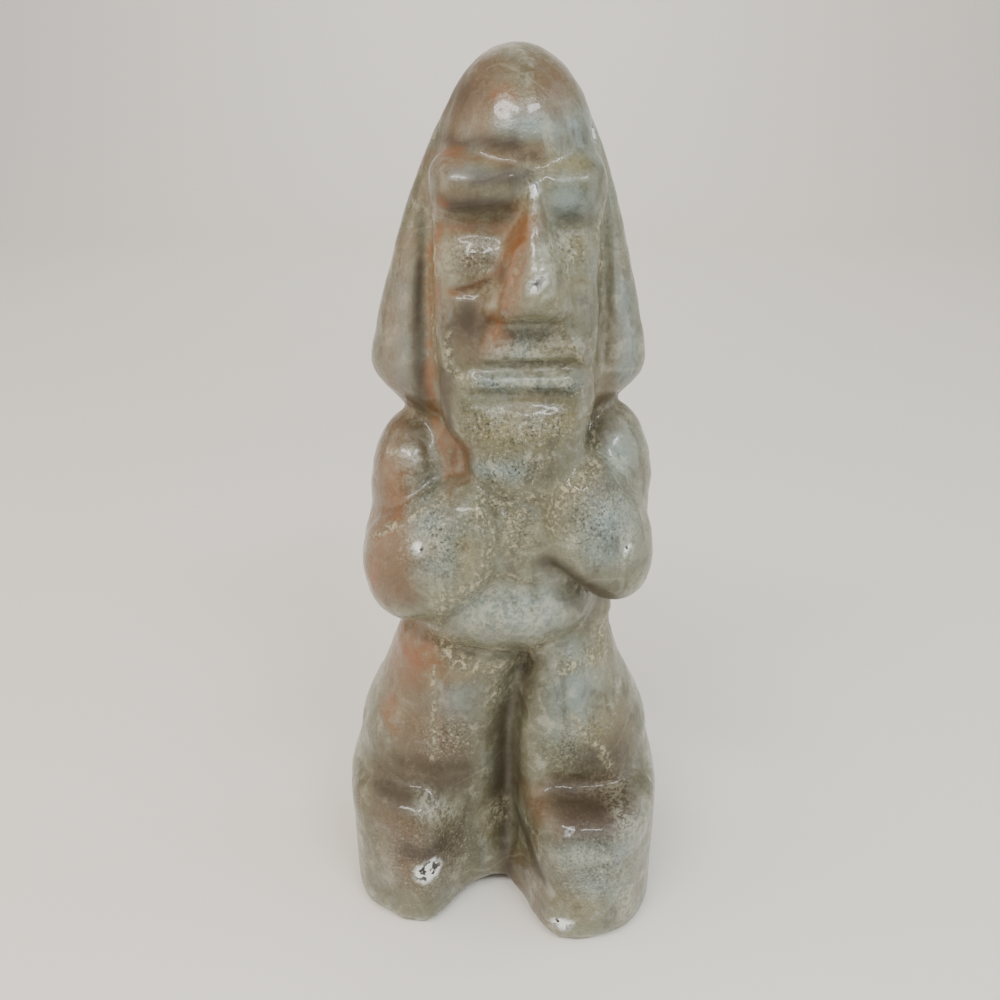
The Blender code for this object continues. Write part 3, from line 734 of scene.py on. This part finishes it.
def finished_points():
    """The points of the figure in shares of its height, with the relief on, and the attributes that the
    stone's finish follows: stains, crust, speckle, chips, marks of painted shade, painted warm light and
    painted highlight, and places sheltered by the stone round them, which the finish paints as shade."""
    grid = skin_grid()
    shape = grid.shape
    p = grid.reshape(-1, 3)
    value, slope = value_and_slope(p)
    outward = slope / np.maximum(np.linalg.norm(slope, axis=1, keepdims=True), TINY)
    marks = {name: stained(p, courses, place) for place, (name, courses) in enumerate(STAINS.items())}
    marks["chip"] = chipped(p)
    for name, (reach, low, high) in SHELTER.items():
        marks[name] = ramp(1 - carving(p + reach * outward) / reach, low, high)
    standing = ramp(p[:, 2], *SOLE_FADE)
    p = p + outward * (small_relief(p, marks) * standing)[:, None]
    return p.reshape(shape), marks


def on_the_frame(points):
    """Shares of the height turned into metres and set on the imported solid: its middle in x and y, and
    its height from the soles to the tip."""
    low, high = points.min(axis=(0, 1)), points.max(axis=(0, 1))
    box_low, box_high = (np.array(corner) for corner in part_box(STONE_NODE))
    scale = (box_high[2] - box_low[2]) / (high[2] - low[2])
    middle = (low + high) / 2
    middle[2] = low[2]
    home = (box_low + box_high) / 2
    home[2] = box_low[2]
    return (points - middle) * scale + home


class Recipe:
    """A material's nodes, added one after another."""

    def __init__(self, name):
        self.material = bpy.data.materials.new(name)
        self.material.use_nodes = True
        self.tree = self.material.node_tree
        self.shader = self.tree.nodes["Principled BSDF"]
        self.place = self.tree.nodes.new("ShaderNodeTexCoord").outputs["Object"]

    def join(self, value, socket):
        """Link a socket, or set a plain value."""
        if isinstance(value, bpy.types.NodeSocket):
            self.tree.links.new(value, socket)
        else:
            socket.default_value = value

    def upright(self, squeeze):
        """Object coordinates squeezed along the height, which draws a pattern out upright."""
        node = self.tree.nodes.new("ShaderNodeMapping")
        self.join(self.place, node.inputs["Vector"])
        node.inputs["Scale"].default_value = (1.0, 1.0, squeeze)
        return node.outputs["Vector"]

    def noise(self, scale, detail, roughness, squeeze=1.0, distortion=0.0):
        """Cloudy noise, 0 to 1."""
        node = self.tree.nodes.new("ShaderNodeTexNoise")
        self.join(self.place if squeeze == 1.0 else self.upright(squeeze), node.inputs["Vector"])
        node.inputs["Scale"].default_value = scale
        node.inputs["Detail"].default_value = detail
        node.inputs["Roughness"].default_value = roughness
        node.inputs["Distortion"].default_value = distortion
        return node.outputs["Fac"]

    def attribute(self, name):
        """A number that the mesh carries."""
        node = self.tree.nodes.new("ShaderNodeAttribute")
        node.attribute_name = name
        return node.outputs["Fac"]

    def work(self, operation, first, second):
        """A sum, product, maximum or the like of two numbers, kept between 0 and 1."""
        node = self.tree.nodes.new("ShaderNodeMath")
        node.operation = operation
        node.use_clamp = True
        self.join(first, node.inputs[0])
        self.join(second, node.inputs[1])
        return node.outputs[0]

    def step(self, value, low, high, start=0.0, end=1.0, within=None):
        """A smooth step from start to end as a number goes from low to high, within a mark if one is
        given."""
        node = self.tree.nodes.new("ShaderNodeMapRange")
        node.interpolation_type = "SMOOTHSTEP"
        self.join(value, node.inputs["Value"])
        node.inputs["From Min"].default_value = low
        node.inputs["From Max"].default_value = high
        node.inputs["To Min"].default_value = start
        node.inputs["To Max"].default_value = end
        share = node.outputs["Result"]
        return share if within is None else self.work("MULTIPLY", within, share)

    def line(self, value, width, strength):
        """Thin curving lines where a number crosses its middle."""
        return self.step(value, 0.5, 0.5 + width, strength, 0.0, self.step(value, 0.5 - width, 0.5))

    def blend(self, share, first, second):
        """One colour over another, by share."""
        node = self.tree.nodes.new("ShaderNodeMix")
        node.data_type = "RGBA"
        self.join(share, node.inputs[0])
        self.join(first, node.inputs[6])
        self.join(second, node.inputs[7])
        return node.outputs[2]

    def bump(self, height, depth, under):
        """A bump of the given depth in metres, over another one."""
        node = self.tree.nodes.new("ShaderNodeBump")
        node.inputs["Strength"].default_value = 1.0
        node.inputs["Distance"].default_value = depth
        self.join(height, node.inputs["Height"])
        if under is not None:
            self.join(under, node.inputs["Normal"])
        return node.outputs["Normal"]


def solid(colour):
    """A colour with its fourth value."""
    return (*colour[:3], 1.0)


# Noise in the stone: scale per metre, detail, roughness, how far it is squeezed upright, and distortion
NOISES = {
    "broad": (24.0, 5.0, 0.60, 1.0, 0.8),
    "warm": (33.0, 5.0, 0.60, 0.6, 0.0),
    "pale_veins": (48.0, 2.0, 0.40),
    "dark_veins": (66.0, 2.5, 0.45),
    "veils": (70.0, 7.0, 0.68, 0.5, 1.4),
    "ripples": (150.0, 5.0, 0.60),
    "mottle": (190.0, 7.0, 0.72),
    "streaks": (300.0, 5.0, 0.65, 0.22, 0.5),
    "dimples": (520.0, 4.0, 0.60),
    "pits": (560.0, 3.0, 0.60),
    "grains": (900.0, 6.0, 0.75),
    "fine": (1700.0, 4.0, 0.75),
}

# What is the same all over the stone, by the name of the shader's socket
STONE_SOCKETS = {
    "Subsurface Weight": 0.06,
    "Subsurface Radius": (1.0, 0.8, 0.5),
    "Subsurface Scale": 0.002,
    "Specular IOR Level": 0.45,
    "Coat Weight": 0.24,
    "Coat Roughness": 0.08,
}

# How much rougher the stone is where its mottling, its crust, and its brown stain and painted shade are
# strongest
MOTTLE_ROUGHNESS = 0.24
CRUST_ROUGHNESS = 0.35
SHADE_AND_STAIN_ROUGHNESS = 0.30

# The share of shelter that is painted as brown shade and that counts as crust, and how thickly crust covers
SUNK_PAINTED_SHADE = 0.38
SUNK_CRUST = 0.30
CRUST_COVER = 0.85


def stone_finish(look):
    """Polished grey-green stone: clouded in brown and green with cool grey veils and upright streaks,
    stained brown and orange, with painted brown shade in its hollows and creases, painted warm light on its
    left side and painted highlight glints, with pale crust in its grooves, dark and pale speckle where
    the polish is lost, and bruised white chips with black pits."""
    r = Recipe("polished_greenstone")
    broad, warm, pale_veins, dark_veins, veils, ripples, mottle, streaks, dimples, pitting, grains, fine = (
        r.noise(*row) for row in NOISES.values())
    marks = {name: r.attribute(name) for name in (*STAINS, "chip", *SHELTER)}
    rough = r.work("MAXIMUM", marks["speckle"], r.step(broad, 0.55, 0.75, 0.15, 0.55))
    crusted = r.work("MAXIMUM", marks["crust"], r.work("MULTIPLY", marks["hollow"], SUNK_CRUST))
    caked = r.step(grains, 0.44, 0.56, 0.10, 1.0, crusted)
    pits = r.step(pitting, 0.52, 0.54, 0.0, 1.0, marks["chip"])
    # Painted shade: the hollows and deep places are darkened by how sheltered they are, and joined with the
    # umber marks
    painted_hollow_shade = r.work("MULTIPLY", r.work("MAXIMUM", marks["deep"], marks["hollow"]), SUNK_PAINTED_SHADE)
    painted_shade_and_stain = r.work("MAXIMUM", marks["umber_stain_and_painted_shade"], painted_hollow_shade)
    layers = (
        (r.step(broad, 0.40, 0.62), look.cloud_colour),
        (r.step(warm, 0.50, 0.68, 0.0, 0.60), look.tan_colour),
        (r.step(veils, 0.48, 0.66, 0.0, 0.65), look.veil_colour),
        (r.step(veils, 0.30, 0.58, 0.35, 1.0, marks["blue"]), look.blue_colour),
        (r.step(mottle, 0.36, 0.60, 0.15, 0.70, marks["yellow"]), look.yellow_colour),
        (r.step(streaks, 0.52, 0.68, 0.0, 0.50), look.shade_colour),
        (r.step(mottle, 0.52, 0.66, 0.0, 0.55), look.shade_colour),
        (r.step(mottle, 0.34, 0.48, 0.42, 0.0), look.pale_colour),
        (r.line(pale_veins, 0.014, 0.17), look.pale_colour),
        (r.line(dark_veins, 0.010, 0.32), look.shade_colour),
        # Tan patches: stain, and partly painted warm light on the left side
        (r.step(warm, 0.32, 0.60, 0.30, 0.80, marks["tan"]), look.tan_colour),
        (r.step(fine, 0.55, 0.59, 0.0, 0.85, rough), look.speck_colour),
        (r.step(fine, 0.38, 0.42, 0.80, 0.0, rough), look.pale_colour),
        # Brown over the umber marks and the sheltered places: brown stain and painted shade
        (r.step(broad, 0.30, 0.62, 0.55, 0.90, painted_shade_and_stain), look.brown_colour),
        # Orange stain, and painted warm light on the left side
        (r.step(mottle, 0.34, 0.60, 0.15, 0.75, marks["rust_and_painted_warm_light"]), look.orange_colour),
        (r.work("MULTIPLY", caked, CRUST_COVER), look.crust_colour),
        # Pale frost, and painted highlight glints
        (r.step(grains, 0.44, 0.56, 0.05, 0.60, marks["frost_and_painted_highlight"]), look.pale_colour),
        (r.step(grains, 0.36, 0.50, 0.75, 1.0, marks["chip"]), look.chip_colour),
        (pits, look.speck_colour),
    )
    colour = solid(look.stone_colour)
    for share, over in layers:
        colour = r.blend(share, colour, solid(over))
    r.join(colour, r.shader.inputs["Base Color"])
    gloss = r.step(mottle, 0.30, 0.75, look.polish, look.polish + MOTTLE_ROUGHNESS)
    for mark, added in ((caked, CRUST_ROUGHNESS), (painted_shade_and_stain, SHADE_AND_STAIN_ROUGHNESS)):
        gloss = r.work("ADD", gloss, r.work("MULTIPLY", mark, added))
    r.join(gloss, r.shader.inputs["Roughness"])
    bumps = (
        (ripples, 0.00035),
        (dimples, 0.00009),
        (grains, 0.00005),
        (r.work("MULTIPLY", rough, fine), 0.00016),
        (r.work("MULTIPLY", caked, grains), 0.00040),
        (r.work("SUBTRACT", 1.0, pits), 0.00030),
    )
    normal = None
    for height, depth in bumps:
        normal = r.bump(height, depth, normal)
    r.join(normal, r.shader.inputs["Normal"])
    for name, value in STONE_SOCKETS.items():
        r.shader.inputs[name].default_value = value
    return r.material


def sheet_mesh(name, points):
    """An open mesh from a grid of points."""
    rows, columns, _ = points.shape
    index = np.arange(rows * columns).reshape(rows, columns)
    faces = np.stack((index[:-1, :-1], index[:-1, 1:], index[1:, 1:], index[1:, :-1]), axis=2)
    mesh = bpy.data.meshes.new(name)
    mesh.from_pydata(points.reshape(-1, 3).tolist(), [], faces.reshape(-1, 4).tolist())
    mesh.shade_smooth()
    return mesh


def put(name, data):
    """A new object in the scene that holds a mesh, a lamp or a camera."""
    thing = bpy.data.objects.new(name, data)
    bpy.context.scene.collection.objects.link(thing)
    return thing


def colour_property(name, description, value):
    """A colour that a user can change."""
    return bpy.props.FloatVectorProperty(
        name=name, description=description, subtype="COLOR", size=3, min=0.0, max=1.0, default=value)


def power_property(name, description, value):
    """A lamp's power that a user can change."""
    return bpy.props.FloatProperty(
        name=name, description=description, unit="POWER", min=0.0, default=value)


class StoneLook(bpy.types.PropertyGroup):
    """The stone's colours and polish."""

    stone_colour: colour_property("Stone", "Grey-green of the polished stone", (0.092, 0.089, 0.050))
    cloud_colour: colour_property("Clouds", "Paler green clouds in the stone", (0.160, 0.162, 0.102))
    # Also the tan patches, which are partly painted warm light on the left side
    tan_colour: colour_property("Tan", "Warm tan clouding", (0.118, 0.064, 0.030))
    veil_colour: colour_property("Veils", "Cool grey veils in the stone", (0.148, 0.166, 0.134))
    blue_colour: colour_property("Blue", "Blue-grey places, belly and forearms", (0.160, 0.205, 0.188))
    yellow_colour: colour_property("Olive", "Yellow-olive places, chin and feet", (0.205, 0.172, 0.078))
    shade_colour: colour_property("Shade", "Dark streaks and mottling", (0.040, 0.033, 0.016))
    # Also the pale frost and the painted highlight glints
    pale_colour: colour_property("Pale", "Pale mottling and pale specks", (0.400, 0.395, 0.300))
    # Brown of the umber stains and of the painted shade in hollows and creases
    brown_colour: colour_property("Brown", "Brown dirt in the hollows", (0.028, 0.015, 0.005))
    # Orange of the stains, and of the painted warm light on the left side
    orange_colour: colour_property("Orange", "Orange-brown stain", (0.170, 0.058, 0.012))
    crust_colour: colour_property("Crust", "Pale crust in the grooves", (0.440, 0.400, 0.255))
    speck_colour: colour_property("Specks", "Dark specks and pits", (0.010, 0.009, 0.007))
    chip_colour: colour_property("Chips", "White bruises where the stone was struck", (0.780, 0.790, 0.760))
    polish: bpy.props.FloatProperty(
        name="Polish", description="Roughness of the best polished stone", default=0.17, min=0.0, max=1.0)


class StudioLook(bpy.types.PropertyGroup):
    """The floor and the light."""

    floor_colour: colour_property("Floor", "Pale floor", (0.84, 0.80, 0.74))
    key_power: power_property("Key light", "Strength of the soft light from above in front", 3.6)
    warm_power: power_property("Warm light", "Strength of the warm light from the left", 4.0)
    cool_power: power_property("Cool light", "Strength of the cool light from the right", 3.0)
    wall_power: power_property("Wall light", "Strength of the light on the wall behind", 6.0)


class CARVING_OT_stone_figure(bpy.types.Operator):
    """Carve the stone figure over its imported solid"""

    bl_idname = "carving.stone_figure"
    bl_label = "Stone figure"

    def execute(self, context):
        points, attributes = finished_points()
        mesh = grid_mesh("carved_stone_figure", on_the_frame(points))
        rows = points.shape[0]
        for name, values in attributes.items():
            rings = values.reshape(rows, -1)
            carried = np.concatenate((rings[1:-1].ravel(), rings[0, :1], rings[-1, :1]))
            layer = mesh.attributes.new(name, "FLOAT", "POINT")
            layer.data.foreach_set("value", carried.astype(np.float32))
        mesh.materials.append(stone_finish(context.scene.stone_look))
        piece = put("carved_stone_figure", mesh)
        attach(piece, "root")
        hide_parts(STONE_NODE)
        return {"FINISHED"}


class CARVING_OT_stage(bpy.types.Operator):
    """Lay the floor, hang the lights and set the camera"""

    bl_idname = "carving.stage"
    bl_label = "Floor, lights and camera"

    def execute(self, context):
        look = context.scene.studio_look
        floor(look)
        lights(look)
        camera()
        return {"FINISHED"}


class CARVING_PT_panel(bpy.types.Panel):
    """The stone's colours and polish, the floor's colour, the lamps' powers, and the steps"""

    bl_label = "Stone warrior figurine"
    bl_idname = "CARVING_PT_panel"
    bl_space_type = "VIEW_3D"
    bl_region_type = "UI"
    bl_category = "Carving"

    def draw(self, context):
        for look in (context.scene.stone_look, context.scene.studio_look):
            for name in look.__annotations__:
                self.layout.prop(look, name)
        self.layout.operator(CARVING_OT_stone_figure.bl_idname)
        self.layout.operator(CARVING_OT_stage.bl_idname)


# The floor in metres: where it begins and where it turns up, the turn's radius, and the wall's top
FLOOR_REACH = 6.0
FLOOR_END = 0.9
FLOOR_CURVE = 0.5
WALL_TOP = 2.2
CURVE_POINTS = 24
FLOOR_COLUMNS = 13
FLOOR_ROUGHNESS = 0.65

# The lamps: place and target in shares of the figure's height, size in metres, power and the share of it
# that the lamp has, and colour
FIGURE_MIDDLE = (0.0, 0.0, 0.5)
LAMPS = {
    "key": ((-1.1, -2.2, 3.4), FIGURE_MIDDLE, (0.40, 0.06), "key_power", 1.0, (1.0, 0.97, 0.92)),
    "second_key": ((1.3, -2.2, 3.3), FIGURE_MIDDLE, (0.22, 0.06), "key_power", 0.6, (0.92, 0.97, 1.0)),
    "warm": ((-3.6, -0.7, 1.3), FIGURE_MIDDLE, (0.80, 0.80), "warm_power", 1.0, (1.0, 0.80, 0.60)),
    "cool": ((3.4, -0.7, 1.6), FIGURE_MIDDLE, (0.80, 0.80), "cool_power", 1.0, (0.92, 0.97, 1.0)),
    "wall": ((0.0, 4.2, 5.0), (0.0, 8.3, 1.2), (0.90, 0.90), "wall_power", 1.0, (1.0, 0.98, 0.95)),
}
SKY_COLOUR = (0.86, 0.86, 0.84)
SKY_STRENGTH = 0.62


def floor(look):
    """A wide floor whose far side curves up into a wall: level, then a quarter round, then upright."""
    turn = np.linspace(0.0, math.pi / 2, CURVE_POINTS)
    curve = FLOOR_CURVE * np.array((np.sin(turn), 1 - np.cos(turn)))
    back = np.concatenate(([-FLOOR_REACH, FLOOR_END], FLOOR_END + curve[0], [FLOOR_END + FLOOR_CURVE]))
    rise = np.concatenate(([0.0, 0.0], curve[1], [WALL_TOP]))
    across = np.linspace(-FLOOR_REACH, FLOOR_REACH, FLOOR_COLUMNS)
    points = np.empty((len(back), len(across), 3))
    points[..., 0] = across
    points[..., 1] = back[:, None]
    points[..., 2] = rise[:, None]
    r = Recipe("pale_floor")
    r.shader.inputs["Base Color"].default_value = solid(look.floor_colour)
    r.shader.inputs["Roughness"].default_value = FLOOR_ROUGHNESS
    mesh = sheet_mesh("floor", points)
    mesh.materials.append(r.material)
    put("floor", mesh)


def soft_light(name, place, target, size, power, colour):
    """A rectangular area light that looks at a target, both in shares of the figure's height."""
    lamp = bpy.data.lights.new(name, "AREA")
    lamp.energy = power
    lamp.shape = "RECTANGLE"
    lamp.size, lamp.size_y = size
    lamp.color = colour
    x, y, z = FIGURE_HEIGHT * (np.array(place) - np.array(target))
    holder = put(name, lamp)
    holder.location = FIGURE_HEIGHT * np.array(place)
    holder.rotation_euler = (math.atan2(math.hypot(x, y), z), 0.0, math.atan2(x, -y))


def lights(look):
    """Two soft keys from above in front, a warm light from the left, a cool one from the right, one on
    the wall alone, and a pale sky all round."""
    for name, (place, target, size, power, share, colour) in LAMPS.items():
        soft_light(name, place, target, size, share * getattr(look, power), colour)
    world = bpy.data.worlds.new("studio")
    world.use_nodes = True
    sky = world.node_tree.nodes["Background"]
    sky.inputs["Color"].default_value = solid(SKY_COLOUR)
    sky.inputs["Strength"].default_value = SKY_STRENGTH
    bpy.context.scene.world = world


def camera():
    """The photograph's view: close by, from just below the figure's tip, looking 25 degrees down."""
    lens = bpy.data.cameras.new("camera")
    lens.sensor_width = CAMERA_SENSOR
    lens.lens = CAMERA_LENS
    holder = put("camera", lens)
    holder.location = CAMERA_PLACE
    holder.rotation_euler = (math.radians(CAMERA_TILT), 0.0, 0.0)
    bpy.context.scene.camera = holder


CLASSES = (StoneLook, StudioLook, CARVING_OT_stone_figure, CARVING_OT_stage, CARVING_PT_panel)


def register():
    """Add the classes and the settings to Blender."""
    for kind in CLASSES:
        bpy.utils.register_class(kind)
    bpy.types.Scene.stone_look = bpy.props.PointerProperty(type=StoneLook)
    bpy.types.Scene.studio_look = bpy.props.PointerProperty(type=StudioLook)


def unregister():
    """Take the settings and the classes out again."""
    del bpy.types.Scene.studio_look
    del bpy.types.Scene.stone_look
    for kind in reversed(CLASSES):
        bpy.utils.unregister_class(kind)


def main():
    """Carve and dress the figure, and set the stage."""
    register()
    bpy.ops.carving.stone_figure()
    bpy.ops.carving.stage()


if __name__ == "__main__":
    main()
